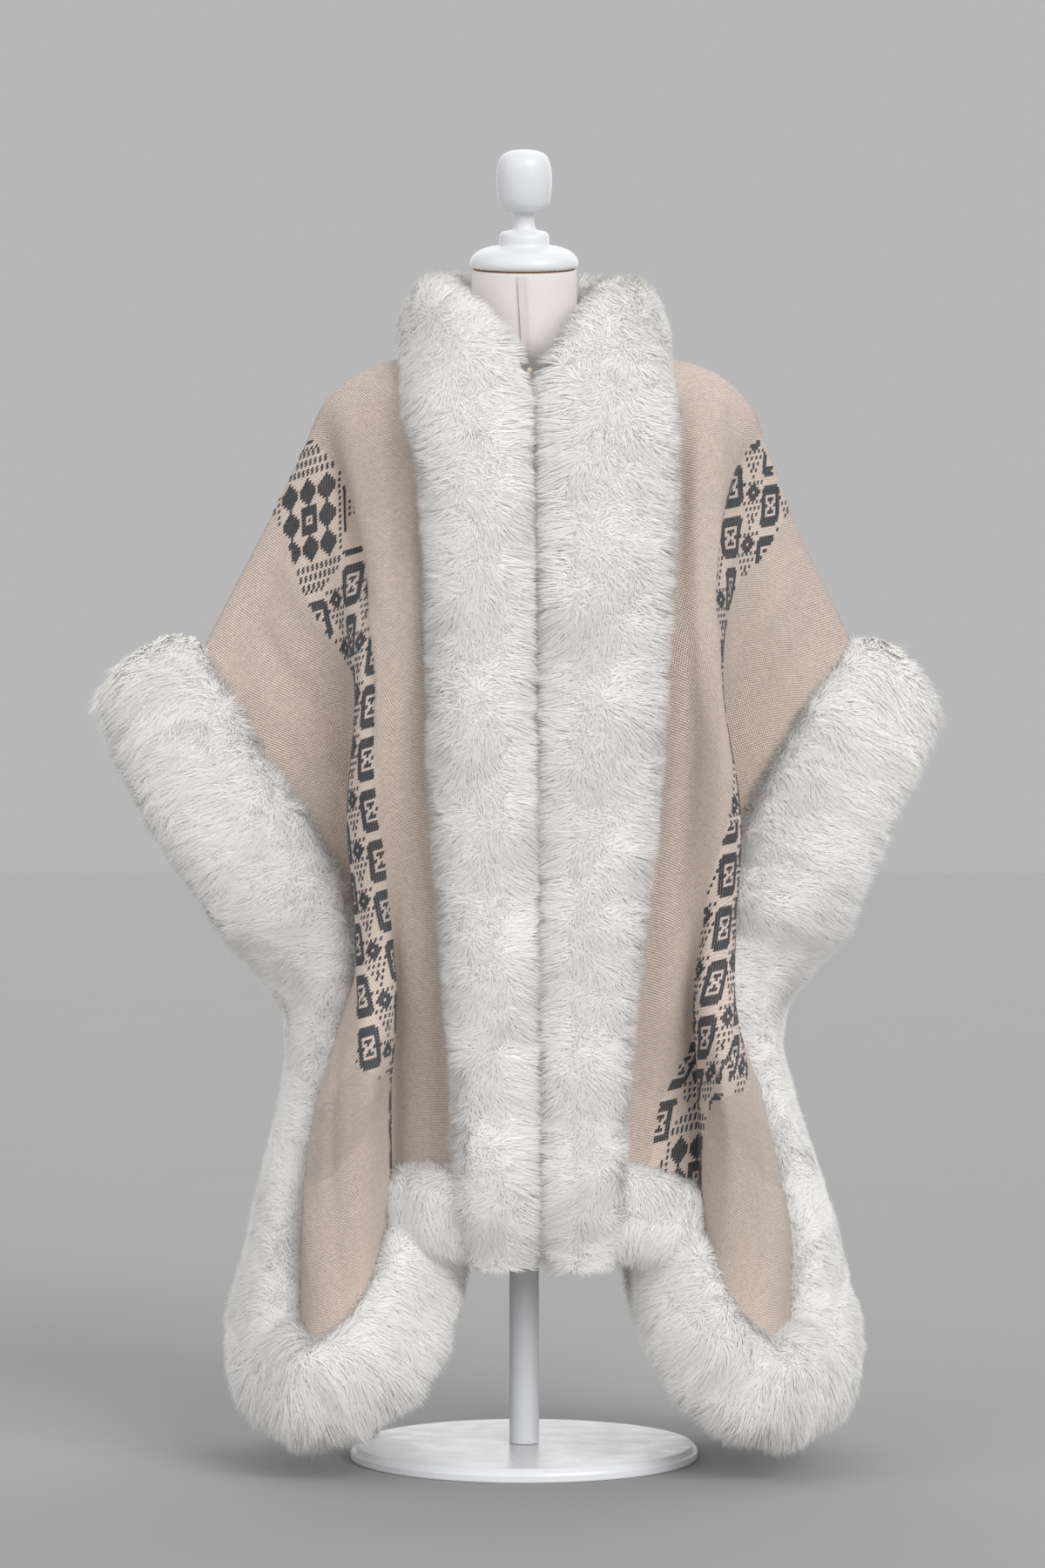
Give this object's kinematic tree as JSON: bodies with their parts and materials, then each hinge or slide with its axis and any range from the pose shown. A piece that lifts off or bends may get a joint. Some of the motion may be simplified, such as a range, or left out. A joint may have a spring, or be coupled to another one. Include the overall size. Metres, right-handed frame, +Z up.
{
  "type": "fur-trimmed cape on dress form",
  "caption": "Open-front woven wool cape with patterned bands, long-pile fur round every edge and a fur collar, draped on a limbless dress form that stands on a round base.",
  "frame": {"origin": "centre of the round base's underside, on the floor", "axes": "+Z up the pole, -Y to the front of the cape, +X to the wearer's left"},
  "size_m": [0.8485, 0.3895, 1.3176],
  "materials": {
    "cloth": "oatmeal woven wool with charcoal bands",
    "fur": "long white fur pile",
    "form_cover": "off-white cotton jersey",
    "tape": "flat grey woven tape",
    "bare_wood": "brown board edge",
    "painted_wood": "white satin paint on turned wood",
    "stand_paint": "white satin paint on steel",
    "pearl": "imitation pearl"
  },
  "bodies": {
    "root": {"front_left": "cloth", "front_right": "cloth", "back": "cloth", "fur_collar": "fur", "fur_front_left": "fur", "fur_front_right": "fur", "fur_hem_front_left": "fur", "fur_hem_front_right": "fur", "fur_hem_back": "fur", "fur_side_front_left": "fur", "fur_side_front_right": "fur", "fur_side_back_left": "fur", "fur_side_back_right": "fur", "pearl_pin": "pearl", "dress_form": "form_cover", "neck_tape": "tape", "neck_plate": "bare_wood", "neck_cap": "painted_wood", "pole": "stand_paint", "base": "stand_paint"}
  },
  "joints": []
}
